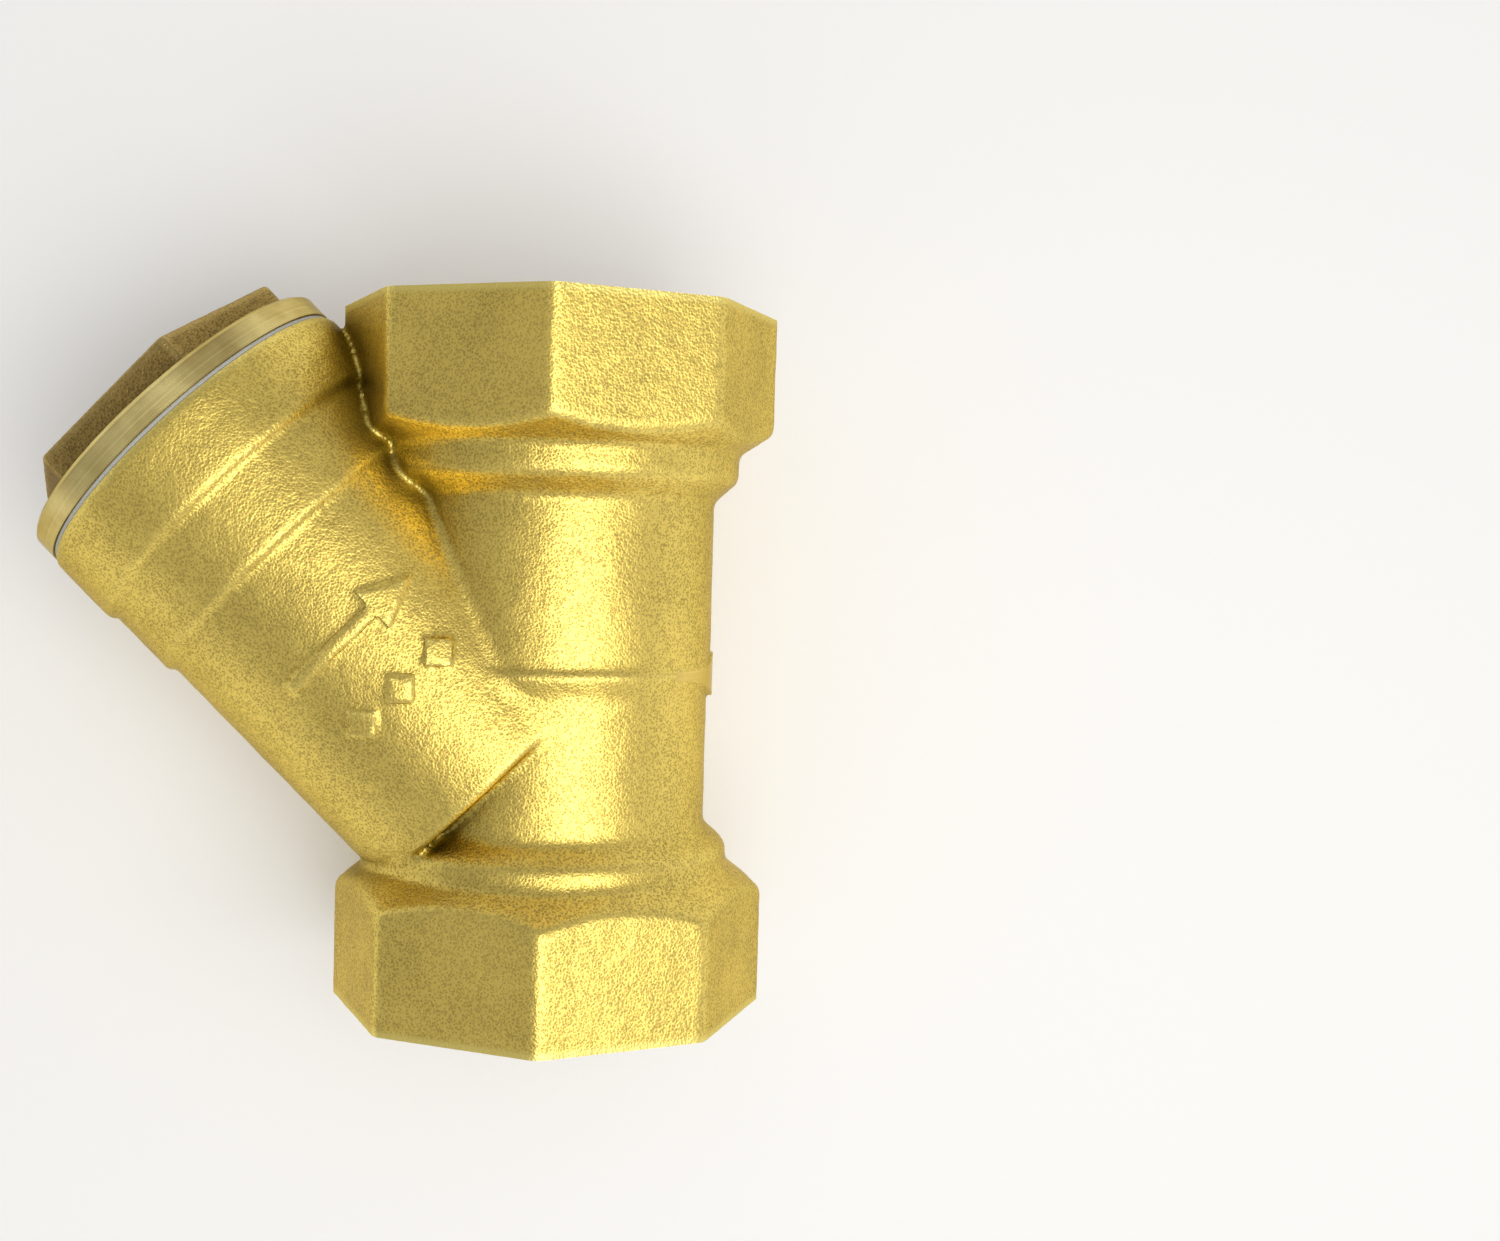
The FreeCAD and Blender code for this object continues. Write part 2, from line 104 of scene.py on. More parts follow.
BODY_TRIANGLES = 130000
BODY_UNEVEN = 0.05
CAP_GRID = 0.38
CAP_TRIANGLES = 60000
CAP_UNEVEN = 0.04

LEG_FRAME = Matrix.Translation((0, LEG_ORIGIN, 0)) @ Matrix.Rotation(
    math.radians(LEG_TURN), 4, "Z"
)
OUTLET_FRAME = Matrix.Translation((0, RUN_LENGTH, 0)) @ Matrix.Rotation(math.pi, 4, "Z")


# Distance fields: negative inside, zero on the surface, in millimetres.


def softened(outline, reach):
    """The outline with each inner corner replaced by a short curve."""
    points = [Vector(p) for p in outline]
    out = [points[0]]
    for before, corner, after in zip(points, points[1:], points[2:]):
        back, ahead = before - corner, after - corner
        start = corner + back * min(reach / back.length, 0.45)
        end = corner + ahead * min(reach / ahead.length, 0.45)
        for s in (0, 0.25, 0.5, 0.75, 1):
            out.append(start * (1 - s) ** 2 + corner * 2 * s * (1 - s) + end * s * s)
    out.append(points[-1])
    return np.array(out)


class Turned:
    """Distance to a turned surface, looked up in a table of (place on the axis, radius)."""

    STEP = 0.12

    def __init__(self, outline, reach):
        line = softened(outline, reach)
        self.start = line[0, 0]
        self.inner = max(line[:, 1].min() - 8, 0)
        along = np.arange(self.start, line[-1, 0], self.STEP)
        radius = np.arange(self.inner, line[:, 1].max() + 10, self.STEP)
        t, r = np.meshgrid(along, radius, indexing="ij")
        nearest = np.full(t.shape, 1e9)
        for (t0, r0), (t1, r1) in zip(line, line[1:]):
            dt, dr = t1 - t0, r1 - r0
            s = np.clip(((t - t0) * dt + (r - r0) * dr) / (dt * dt + dr * dr), 0, 1)
            nearest = np.minimum(nearest, (t - t0 - s * dt) ** 2 + (r - r0 - s * dr) ** 2)
        inside = r < np.interp(t, line[:, 0], line[:, 1])
        self.table = np.where(inside, -1, 1) * np.sqrt(nearest)

    def __call__(self, along, radius):
        rows, columns = self.table.shape
        u = np.clip((along - self.start) / self.STEP, 0, rows - 1.001)
        v = np.clip((radius - self.inner) / self.STEP, 0, columns - 1.001)
        i, j = u.astype(int), v.astype(int)
        u, v = u - i, v - j
        low = self.table[i, j] * (1 - v) + self.table[i, j + 1] * v
        high = self.table[i + 1, j] * (1 - v) + self.table[i + 1, j + 1] * v
        return low * (1 - u) + high * u


def joined(a, b, radius):
    """Union of two fields, with a fillet of that radius."""
    gap = np.hypot(np.maximum(radius - a, 0), np.maximum(radius - b, 0))
    return np.maximum(radius, np.minimum(a, b)) - gap


def shared(a, b, radius):
    """Intersection of two fields, with its edge rounded to that radius."""
    gap = np.hypot(np.maximum(radius + a, 0), np.maximum(radius + b, 0))
    return np.minimum(-radius, np.maximum(a, b)) + gap


def many_sided(x, z, sides, flats, first_corner, radius):
    """Distance to a regular prism's outline, with its edges rounded."""
    half_turn = math.pi / sides
    turn = np.arctan2(z, x) - math.radians(first_corner)
    turn = np.mod(turn, 2 * half_turn) - half_turn
    reach = np.hypot(x, z)
    inset = flats / 2 - radius
    out = reach * np.cos(turn) - inset
    past = np.maximum(np.abs(reach * np.sin(turn)) - inset * math.tan(half_turn), 0)
    return np.where(past > 0, np.hypot(out, past), out) - radius


def polygon(x, y, corners):
    """Distance to a polygon in a plane."""
    nearest = np.full(x.shape, 1e9)
    inside = np.zeros(x.shape, bool)
    for (x0, y0), (x1, y1) in zip(corners, corners[1:] + corners[:1]):
        dx, dy = x1 - x0, y1 - y0
        s = np.clip(((x - x0) * dx + (y - y0) * dy) / (dx * dx + dy * dy), 0, 1)
        nearest = np.minimum(nearest, np.hypot(x - x0 - s * dx, y - y0 - s * dy))
        if dy:
            inside ^= ((y0 > y) != (y1 > y)) & (x < x0 + dx * (y - y0) / dy)
    return np.where(inside, -nearest, nearest)


def leg_coordinates(p):
    """Points in the leg's own frame: across towards the run, along, and up."""
    turn = math.radians(LEG_TURN)
    x, y = p[:, 0], p[:, 1] - LEG_ORIGIN
    across = x * math.cos(turn) + y * math.sin(turn)
    along = y * math.cos(turn) - x * math.sin(turn)
    return across, along, p[:, 2]


ARROW = [
    (-9.5, 31.2),
    (3.9, 31.2),
    (3.9, 29.2),
    (9.5, 32.0),
    (3.9, 34.8),
    (3.9, 32.8),
    (-9.5, 32.8),
]
DIAMONDS = [
    [(c - 2.2, 23.5), (c, 21.3), (c + 2.2, 23.5), (c, 25.7)] for c in (-6.0, 0.0, 6.0)
]
PAD_OUTLINE = [
    (PAD_PLACE - 2.8, 0),
    (PAD_PLACE, 9.4),
    (PAD_PLACE + 2.8, 0),
    (PAD_PLACE, -9.4),
]
PAD_STOCK = 0.6  # cast metal that pad_face cuts away
run_surface = Turned(RUN_OUTLINE, 0.9)
inlet_trim = Turned(INLET_TRIM, 1.0)
outlet_trim = Turned(OUTLET_TRIM, 1.0)
leg_surface = Turned(LEG_OUTLINE, 0.35)


def casting_field(p):
    """The outside of the cast body, as it comes out of the mould."""
    x, y, z = p.T
    radius = np.hypot(x, z)
    octagon = many_sided(x, z, 8, OCTAGON_FLATS, 0, OCTAGON_EDGE)
    inlet = shared(octagon, inlet_trim(y, radius), 0.6)
    outlet = shared(octagon, outlet_trim(y, radius), 0.6)
    run = joined(run_surface(y, radius), np.minimum(inlet, outlet), 0.7)
    diamond = polygon(y, z, PAD_OUTLINE)
    pad = shared(diamond, radius - PAD_RADIUS - PAD_STOCK, 0.15)
    run = joined(run, np.where(x > 0, pad, FAR), 0.25)
    across, along, up = leg_coordinates(p)
    leg_radius = np.hypot(across, up)
    leg = shared(leg_surface(along, leg_radius), LEG_ROOT - along, 0.7)
    leg = np.maximum(leg, along - LEG_END - STUB)
    field = joined(run, leg, 0.9)
    field = np.maximum(field, np.maximum(-STUB - y, y - RUN_LENGTH - STUB))
    near = (leg_radius < 23) & (up > 12) & (np.abs(across) < 13) & (np.abs(along - 28) < 10)
    marks = np.full(near.sum(), FAR)
    for outline in [ARROW, *DIAMONDS]:
        marks = np.minimum(marks, polygon(across[near], along[near], outline))
    raised = shared(marks, leg_radius[near] - LEG_RADIUS - MARK_RISE, 0.25)
    field[near] = joined(field[near], raised, 0.35)
    return field


def cap_field(p):
    """The outside of the cap's casting, in the leg's frame: hexagon head and flange."""
    x, along, z = p.T
    hexagon = many_sided(x, z, 6, CAP_FLATS, CAP_FIRST_CORNER, 0.7)
    head = shared(hexagon, along - CAP_HEAD_END, 0.6)
    flange = np.maximum(np.hypot(x, z) - 24, along - CAP_FLANGE_END)
    return np.maximum(joined(head, flange, 0.8), 54 - along)


def slopes(field, p, reach=0.04):
    """The field's gradient at each point."""
    out = np.empty_like(p)
    for axis in range(3):
        step = np.zeros(3)
        step[axis] = reach
        out[:, axis] = (field(p + step) - field(p - step)) / (2 * reach)
    return out


def field_values(field, low, counts, step):
    """The field on a grid, worked out in full only near the surface."""
    coarse = 4
    blocks = [n // coarse + 2 for n in counts]
    centres = np.indices(blocks).reshape(3, -1).T * coarse + (coarse - 1) / 2
    rough = field(centres * step + low).reshape(blocks)
    fine = rough
    for axis in range(3):
        fine = np.repeat(fine, coarse, axis)
    fine = fine[tuple(slice(0, n) for n in counts)].copy()
    reach = coarse * step * 0.75 + 0.5
    band = np.argwhere(np.abs(fine) < reach)
    fine[tuple(band.T)] = field(band * step + low)
    return fine


def surface_of(field, low, high, step):
    """Points and quads on the field's zero surface."""
    low = np.array(low, float)
    counts = [int(math.ceil(n)) for n in (np.array(high) - low) / step]
    values = field_values(field, low, counts, step)
    inside = values < 0
    places, cells, quads = [], [], []
    for axis in range(3):
        u, v = (axis + 1) % 3, (axis + 2) % 3
        near = [slice(None)] * 3
        far = [slice(None)] * 3
        near[axis], far[axis] = slice(0, -1), slice(1, None)
        edge = np.argwhere(inside[tuple(near)] != inside[tuple(far)])
        other = edge.copy()
        other[:, axis] += 1
        a, b = values[tuple(edge.T)], values[tuple(other.T)]
        place = edge.astype(float)
        place[:, axis] += a / (a - b)
        ring = []
        for du, dv in ((1, 1), (0, 1), (0, 0), (1, 0)):
            cell = edge.copy()
            cell[:, u] -= du
            cell[:, v] -= dv
            ring.append(np.ravel_multi_index(tuple(cell.T), values.shape))
            places.append(place)
        cells += ring
        ring = np.array(ring).T
        ring[a > 0] = ring[a > 0][:, ::-1]
        quads.append(ring)
    names, index = np.unique(np.concatenate(cells), return_inverse=True)
    places = np.concatenate(places)
    count = np.bincount(index)
    points = np.stack([np.bincount(index, places[:, k]) / count for k in range(3)], 1)
    points = points * step + low
    quads = np.searchsorted(names, np.concatenate(quads))
    for _ in range(4):
        slope = slopes(field, points)
        size = np.maximum((slope**2).sum(1), 0.2)
        move = slope * (field(points) / size)[:, None]
        points -= np.clip(move, -0.6 * step, 0.6 * step)
    return points, quads


# Meshes.


def new_object(name, points, faces, *materials):
    mesh = bpy.data.meshes.new(name)
    mesh.from_pydata([tuple(p) for p in points], [], [tuple(f) for f in faces])
    mesh.validate()
    for material in materials:
        mesh.materials.append(material)
    obj = bpy.data.objects.new(name, mesh)
    bpy.context.scene.collection.objects.link(obj)
    return obj


def lathe(name, outline, material):
    """A closed turned solid on the Y axis. The outline starts and ends on the axis."""
    steps = TURNED_STEPS
    turns = np.arange(steps) * 2 * math.pi / steps
    ring = np.stack([np.cos(turns), np.zeros(steps), -np.sin(turns)], 1)
    start, end = outline[0][0], outline[-1][0]
    points = [np.array([[0, start, 0]])]
    for along, radius in outline[1:-1]:
        points.append(ring * radius + (0, along, 0))
    points.append(np.array([[0, end, 0]]))
    last = 1 + steps * (len(outline) - 2)
    faces = []
    for k in range(steps):
        after = (k + 1) % steps
        faces.append((0, 1 + k, 1 + after))
        for row in range(len(outline) - 3):
            base = 1 + row * steps
            faces.append((base + k, base + steps + k, base + steps + after, base + after))
        faces.append((last, last - steps + after, last - steps + k))
    return new_object(name, np.concatenate(points), faces, material)


def swept_ring(name, section, material):
    """A ring on the Y axis with a closed section of (along, radius) points."""
    steps = TURNED_STEPS
    turns = np.arange(steps) * 2 * math.pi / steps
    section = np.array(section)
    count = len(section)
    points = [
        (r * math.cos(a), t, -r * math.sin(a)) for a in turns for t, r in section
    ]
    faces = []
    for k in range(steps):
        after = (k + 1) % steps
        for j in range(count):
            nxt = (j + 1) % count
            faces.append((k * count + j, k * count + nxt, after * count + nxt, after * count + j))
    return new_object(name, points, faces, material)


def groove(name, pitch, span, section, material):
    """A right-handed screw-shaped cutter along +Y, swept from a section of (along, radius)."""
    steps = THREAD_STEPS
    start, end = span
    count = int(round((end - start) / pitch * steps))
    points, faces = [], []
    corners = len(section)
    for k in range(count + 1):
        turn = 2 * math.pi * k / steps
        rise = start + pitch * k / steps
        for along, radius in section:
            points.append((radius * math.cos(turn), rise + along, -radius * math.sin(turn)))
    for k in range(count):
        for j in range(corners):
            nxt = (j + 1) % corners
            base = k * corners
            faces.append((base + j, base + nxt, base + corners + nxt, base + corners + j))
    faces.append(tuple(range(corners))[::-1])
    faces.append(tuple(count * corners + j for j in range(corners)))
    return new_object(name, points, faces, material)


def block(name, low, high, material):
    (x0, y0, z0), (x1, y1, z1) = low, high
    points = [(x, y, z) for x in (x0, x1) for y in (y0, y1) for z in (z0, z1)]
    faces = [(0, 1, 3, 2), (4, 6, 7, 5), (0, 4, 5, 1), (2, 3, 7, 6), (0, 2, 6, 4), (1, 5, 7, 3)]
    return new_object(name, points, faces, material)


def facing_out(obj):
    """Turns a closed mesh's faces outwards if they all face inwards."""
    mesh = obj.data
    mesh.calc_loop_triangles()
    corners = np.zeros(len(mesh.vertices) * 3)
    mesh.vertices.foreach_get("co", corners)
    corners = corners.reshape(-1, 3)
    triangles = np.zeros(len(mesh.loop_triangles) * 3, int)
    mesh.loop_triangles.foreach_get("vertices", triangles)
    a, b, c = (corners[k] for k in triangles.reshape(-1, 3).T)
    if (a * np.cross(b, c)).sum() < 0:
        mesh.flip_normals()
    return obj


def placed(obj, matrix):
    obj.data.transform(matrix)
    return obj


def applied(obj):
    """Applies the object's modifiers."""
    graph = bpy.context.evaluated_depsgraph_get()
    mesh = bpy.data.meshes.new_from_object(obj.evaluated_get(graph))
    obj.modifiers.clear()
    obj.data = mesh
    return obj


def thinned(obj, triangles):
    """Merges the smallest triangles until about that many are left."""
    obj.data.calc_loop_triangles()
    modifier = obj.modifiers.new("thin", "DECIMATE")
    modifier.ratio = min(triangles / len(obj.data.loop_triangles), 1)
    return applied(obj)


def worked(obj, tool, operation):
    """Cuts, joins or intersects obj with a closed tool, which is used up."""
    facing_out(tool)
    modifier = obj.modifiers.new("work", "BOOLEAN")
    modifier.object = tool
    modifier.operation = operation
    modifier.solver = "MANIFOLD"
    modifier.material_mode = "TRANSFER"
    applied(obj)
    if not obj.data.polygons:
        raise RuntimeError(f"{obj.name} lost everything to {tool.name}")
    bpy.data.objects.remove(tool)
    return obj


def finished(obj, sharp=38):
    """Smooth shading with sharp machined edges, in metres."""
    mesh = obj.data
    mesh.transform(Matrix.Scale(MM, 4))
    mesh.shade_smooth()
    mesh.set_sharp_from_angle(angle=math.radians(sharp))
    return obj


def weathered(field, points, amount, size):
    """Moves cast points in and out a little, as a sand-cast skin does."""
    normals = slopes(field, points)
    normals /= np.maximum(np.linalg.norm(normals, axis=1), 0.1)[:, None]
    rise = np.array([noise.noise(Vector(p) / size) for p in points])
    rise += 0.5 * np.array([noise.noise(Vector(p) / (size * 0.37)) for p in points])
    return points + normals * (rise * amount)[:, None]


# Materials.


class Nodes:
    """A short way to write the node tree of a material or a world."""

    def __init__(self, owner, shader="Principled BSDF", coordinates="Object"):
        owner.use_nodes = True
        self.owner = owner
        self.tree = owner.node_tree
        self.shader = self.tree.nodes[shader]
        self.place = self.add("ShaderNodeTexCoord").outputs[coordinates]

    def add(self, kind, **inputs):
        node = self.tree.nodes.new(kind)
        self.feed(node, inputs)
        return node

    def put(self, socket, value):
        """Links a socket to another, or sets its value."""
        if isinstance(value, bpy.types.NodeSocket):
            self.tree.links.new(value, socket)
        else:
            socket.default_value = value

    def feed(self, node, inputs):
        for name, value in inputs.items():
            self.put(node.inputs[name.replace("_", " ")], value)

    def math(self, operation, a, b=0.0):
        node = self.tree.nodes.new("ShaderNodeMath")
        node.operation = operation
        for socket, value in zip(node.inputs, (a, b)):
            self.put(socket, value)
        return node.outputs[0]

    def noise(self, scale, detail=2.0, roughness=0.5, place=None):
        place = place or self.place
        node = self.add(
            "ShaderNodeTexNoise", Vector=place, Scale=scale, Detail=detail, Roughness=roughness
        )
        return node.outputs["Fac"]

    def between(self, value, low, high, out_low=0.0, out_high=1.0):
        node = self.tree.nodes.new("ShaderNodeMapRange")
        values = (value, low, high, out_low, out_high)
        names = ("Value", "From Min", "From Max", "To Min", "To Max")
        for name, number in zip(names, values):
            self.feed(node, {name: number})
        return node.outputs[0]

    def mix(self, factor, a, b):
        node = self.tree.nodes.new("ShaderNodeMix")
        node.data_type = "RGBA"
        for index, value in ((0, factor), (6, a), (7, b)):
            self.put(node.inputs[index], value)
        return node.outputs[2]

    def bump(self, height, distance, strength=1.0, under=None):
        node = self.add("ShaderNodeBump", Height=height, Distance=distance, Strength=strength)
        if under is not None:
            self.tree.links.new(under, node.inputs["Normal"])
        return node.outputs["Normal"]

    def closeness(self, distance, inside=False):
        """How much of the piece itself is close by: high in hollows, or inside at edges."""
        node = self.add("ShaderNodeAmbientOcclusion", Distance=distance)
        node.samples = 4
        node.only_local = True
        node.inside = inside
        return self.math("SUBTRACT", 1.0, node.outputs["AO"])

    def shade(self, **inputs):
        self.feed(self.shader, inputs)
        return self.owner


def material_nodes(name):
    return Nodes(bpy.data.materials.new(name))


def cast_material(name, bright, dark, dull, crevice_shade, edge):
    """Shot-blasted cast brass: fine dimples and slow changes of colour, with painted shade
    darkening its hollows and creases.
    """
    n = material_nodes(name)
    dimples = n.add("ShaderNodeTexVoronoi", Vector=n.place, Scale=3300.0).outputs["Distance"]
    grain = n.noise(3600, 2, 0.6)
    pits = n.noise(1000, 2, 0.55)
    slow = n.noise(95, 3, 0.55)
    facets = n.math("ADD", dimples, n.math("MULTIPLY", grain, 0.8))
    specks = n.between(n.math("ADD", facets, n.math("MULTIPLY", pits, 0.4)), 0.82, 1.22)
    tone = n.math("ADD", n.math("MULTIPLY", specks, 0.8), n.between(slow, 0.35, 0.7, 0, 0.3))
    colour = n.mix(tone, dark, bright)
    stain = n.between(n.noise(240, 4, 0.6), 0.56, 0.78)
    colour = n.mix(n.math("MULTIPLY", stain, 0.35), colour, dull)
    # Painted shade: the colour turns to the crevice colour in the hollows, where the piece itself
    # crowds close.
    colour = n.mix(n.between(n.closeness(0.008), 0.16, 0.68), colour, crevice_shade)
    # Painted shade: a thin dark line of the crevice colour along the creases where faces meet.
    outline = n.between(n.closeness(0.0014), 0.12, 0.5, 0, 0.6)
    colour = n.mix(outline, colour, crevice_shade)
    worn = n.between(n.closeness(0.0011, inside=True), 0.03, 0.22, 0, 0.75)
    colour = n.mix(worn, colour, edge)
    coarse = n.bump(pits, 0.00008, 0.7)
    fine = n.bump(facets, 0.000035, 1.0, coarse)
    rough = n.between(specks, 0.2, 0.8, 0.47, 0.33)
    n.shade(Base_Color=colour, Metallic=1.0, Roughness=rough, Normal=fine)
    return n.shade(Specular_Tint=(0.52, 0.48, 0.42, 1))


def turned_material(name, turn, bright, dark):
    """Machined brass with the fine rings that a lathe tool leaves, square to its axis."""
    n = material_nodes(name)
    place = n.add(
        "ShaderNodeMapping",
        Vector=n.place,
        Location=(0, LEG_ORIGIN * MM, 0),
        Rotation=(0, 0, math.radians(turn)),
    )
    place.vector_type = "TEXTURE"
    parts = n.add("ShaderNodeSeparateXYZ", Vector=place.outputs[0])
    x, y, z = parts.outputs
    radius = n.math("SQRT", n.math("ADD", n.math("MULTIPLY", x, x), n.math("MULTIPLY", z, z)))
    across = n.add("ShaderNodeCombineXYZ", X=radius, Y=y)
    rings = n.noise(4200, 2, 0.7, across.outputs[0])
    wide = n.noise(900, 2, 0.6, across.outputs[0])
    smear = n.noise(160, 3, 0.6)
    tone = n.between(n.math("ADD", rings, n.math("MULTIPLY", smear, 1.6)), 0.9, 1.7)
    colour = n.mix(tone, dark, bright)
    coarse = n.bump(wide, 0.00003, 0.5)
    fine = n.bump(rings, 0.00002, 0.6, coarse)
    rough = n.between(n.math("ADD", rings, smear), 0.8, 1.2, 0.17, 0.30)
    n.shade(Base_Color=colour, Metallic=1.0, Roughness=rough, Normal=fine)
    return n.shade(Specular_Tint=(0.72, 0.66, 0.46, 1))


def gasket_material():
    n = material_nodes("gasket_fibre")
    fibres = n.noise(1800, 4, 0.7)
    colour = n.mix(fibres, (0.40, 0.41, 0.40, 1), (0.62, 0.63, 0.61, 1))
    normal = n.bump(fibres, 0.00005, 0.6)
    return n.shade(Base_Color=colour, Roughness=0.7, Normal=normal)


def steel_material():
    n = material_nodes("screen_steel")
    rolled = n.noise(2600, 3, 0.6)
    slow = n.noise(140, 3, 0.6)
    tone = n.between(n.math("ADD", rolled, slow), 0.7, 1.3)
    colour = n.mix(tone, (0.50, 0.46, 0.42, 1), (0.74, 0.70, 0.64, 1))
    rough = n.between(rolled, 0.3, 0.7, 0.26, 0.42)
    normal = n.bump(rolled, 0.00002, 0.4)
    return n.shade(Base_Color=colour, Metallic=1.0, Roughness=rough, Normal=normal)


CAST = cast_material(
    "cast_brass",
    bright=(0.98, 0.745, 0.18, 1),
    dark=(0.48, 0.36, 0.09, 1),
    dull=(0.48, 0.36, 0.11, 1),
    crevice_shade=(0.24, 0.18, 0.03, 1),
    edge=(1.00, 0.84, 0.26, 1),
)
# The cap's cast brass is the body's made darker throughout: painted shade on the cap.
SHADED_CAP_CAST = cast_material(
    "shaded_cap_cast_brass",
    bright=(0.42, 0.29, 0.09, 1),
    dark=(0.20, 0.13, 0.04, 1),
    dull=(0.20, 0.13, 0.05, 1),
    crevice_shade=(0.10, 0.07, 0.02, 1),
    edge=(0.70, 0.52, 0.20, 1),
)
RUN_TURNED = turned_material(
    "turned_brass_run", 0, bright=(0.94, 0.71, 0.22, 1), dark=(0.66, 0.46, 0.10, 1)
)
LEG_TURNED = turned_material(
    "turned_brass_leg", LEG_TURN, bright=(0.88, 0.74, 0.32, 1), dark=(0.56, 0.42, 0.14, 1)
)
GASKET_FIBRE = gasket_material()
STEEL = steel_material()


# The body, the cap and the gasket. Each list is a cutter's outline, as (along, radius).

PORT = [
    (-4, 0),
    (-4, 34),
    (0, 34),
    (0, 21.4),
    (1.6, PIPE_CREST),
    (12.4, PIPE_CREST),
    (12.5, 19.576),
    (13.6, 19.576),
    (13.6, 21.2),
    (14.8, 21.2),
    (14.8, 18.6),
    (17.0, 18.6),
    (18.2, 16.0),
    (19.0, 16.0),
    (19.0, 0),
]
GROOVE_SECTION = [
    (-1.047, PIPE_CREST - 0.2),
    (-0.175, PIPE_ROOT),
    (0.175, PIPE_ROOT),
    (1.047, PIPE_CREST - 0.2),
]
CAP_GROOVE_FLAT = 0.25
CAP_GROOVE_HALF = CAP_GROOVE_FLAT + 1.2 * math.tan(math.radians(30))
LEG_GROOVE_SECTION = [
    (-CAP_GROOVE_HALF, 18.7),
    (-CAP_GROOVE_FLAT, 19.9),
    (CAP_GROOVE_FLAT, 19.9),
    (CAP_GROOVE_HALF, 18.7),
]
CAP_GROOVE_SECTION = [
    (-CAP_GROOVE_HALF, 18.95),
    (CAP_GROOVE_HALF, 18.95),
    (CAP_GROOVE_FLAT, 17.75),
    (-CAP_GROOVE_FLAT, 17.75),
]
INLET_CAVITY = [(15, 0), (15, 16), (35.8, 16), (37, 13), (37, 0)]
OUTLET_CAVITY = [(42, 0), (42, 13), (43.2, 16), (71, 16), (71, 0)]
SEAT_WALL_FACE = 2.4
LEG_ROOM = [
    (1.2, 0),
    (1.2, 14.0),
    (4.0, 14.0),
    (4.0, 15.15),
    (9.0, 15.15),
    (10.2, 16.5),
    (52.0, 16.5),
    (52.0, 20.1),
    (53.0, 20.1),
    (53.0, 18.9),
    (62.0, 18.9),
    (63.2, 20.1),
    (63.2, 24.0),
    (67.0, 24.0),
    (67.0, 0),
]
CAP_TURNING = [
    (55.0, 0),
    (55.0, 17.75),
    (56.0, 18.75),
    (62.5, 18.75),
    (62.5, 17.5),
    (63.8, 17.5),
    (63.8, 22.2),
    (66.5, 22.2),
    (66.9, 21.8),
    (75.0, 21.8),
    (75.0, 0),
]
CAP_RECESS = [(50.0, 0), (50.0, 15.6), (63.3, 15.6), (63.3, 0)]


def make_body():
    points, quads = surface_of(casting_field, (-64, -3, -29), (30, 89, 29), BODY_GRID)
    points = weathered(casting_field, points, BODY_UNEVEN, 2.6)
    body = new_object("body_casting", points, quads, CAST)
    body = thinned(facing_out(body), BODY_TRIANGLES)
    for end in (Matrix.Identity(4), OUTLET_FRAME):
        worked(body, placed(lathe("port", PORT, RUN_TURNED), end), "DIFFERENCE")
        thread = groove(
            "thread", PIPE_PITCH, (-1.5, PIPE_GROOVE_END), GROOVE_SECTION, RUN_TURNED
        )
        worked(body, placed(thread, end), "DIFFERENCE")
    inlet = facing_out(lathe("inlet_cavity", INLET_CAVITY, RUN_TURNED))
    wall = block("seat_wall", (-60, SEAT_WALL_FACE, -60), (60, 90, 60), LEG_TURNED)
    worked(inlet, placed(wall, LEG_FRAME), "DIFFERENCE")
    worked(body, inlet, "DIFFERENCE")
    worked(body, lathe("outlet_cavity", OUTLET_CAVITY, RUN_TURNED), "DIFFERENCE")
    worked(body, placed(lathe("leg_room", LEG_ROOM, LEG_TURNED), LEG_FRAME), "DIFFERENCE")
    thread = groove("leg_thread", CAP_PITCH, (52.5, 64.7), LEG_GROOVE_SECTION, LEG_TURNED)
    worked(body, placed(thread, LEG_FRAME), "DIFFERENCE")
    ring = [(38, PAD_RADIUS), (45, PAD_RADIUS), (45, 24), (38, 24)]
    face = facing_out(swept_ring("pad_face", ring, RUN_TURNED))
    side = block("pad_side", (15, 30, -30), (30, 50, 30), RUN_TURNED)
    worked(body, worked(face, side, "INTERSECT"), "DIFFERENCE")
    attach(finished(body), "strainer_body")
    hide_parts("body")


def make_cap():
    points, quads = surface_of(cap_field, (-25, 53, -25), (25, 72, 25), CAP_GRID)
    points = weathered(cap_field, points, CAP_UNEVEN, 2.2)
    cap = thinned(facing_out(new_object("cap", points, quads, SHADED_CAP_CAST)), CAP_TRIANGLES)
    worked(cap, lathe("turning", CAP_TURNING, LEG_TURNED), "INTERSECT")
    worked(cap, lathe("recess", CAP_RECESS, LEG_TURNED), "DIFFERENCE")
    thread = groove("cap_thread", CAP_PITCH, (53.5, 62.85), CAP_GROOVE_SECTION, LEG_TURNED)
    worked(cap, thread, "DIFFERENCE")
    placed(cap, LEG_FRAME)
    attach(finished(cap), "cap")
    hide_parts("screw_cap")


def make_gasket():
    low, high, inner, outer = GASKET
    soft = 0.16
    section = [
        (low + soft, inner),
        (high - soft, inner),
        (high, inner + soft),
        (high, outer - soft),
        (high - soft, outer),
        (low + soft, outer),
        (low, outer - soft),
        (low, inner + soft),
    ]
    gasket = facing_out(swept_ring("gasket", section, GASKET_FIBRE))
    placed(gasket, LEG_FRAME)
    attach(finished(gasket, 50), "gasket")
    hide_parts("cap_gasket")


# The screen.

SHEET_COLUMNS = 66
SHEET_ROWS = 46
SHEET_RIM = 1.2
HOLE_RADIUS = 0.56
HOLE_SIDES = 12
LAP_INNER = 14.3
LAP_HALF_WIDTH = 2.0


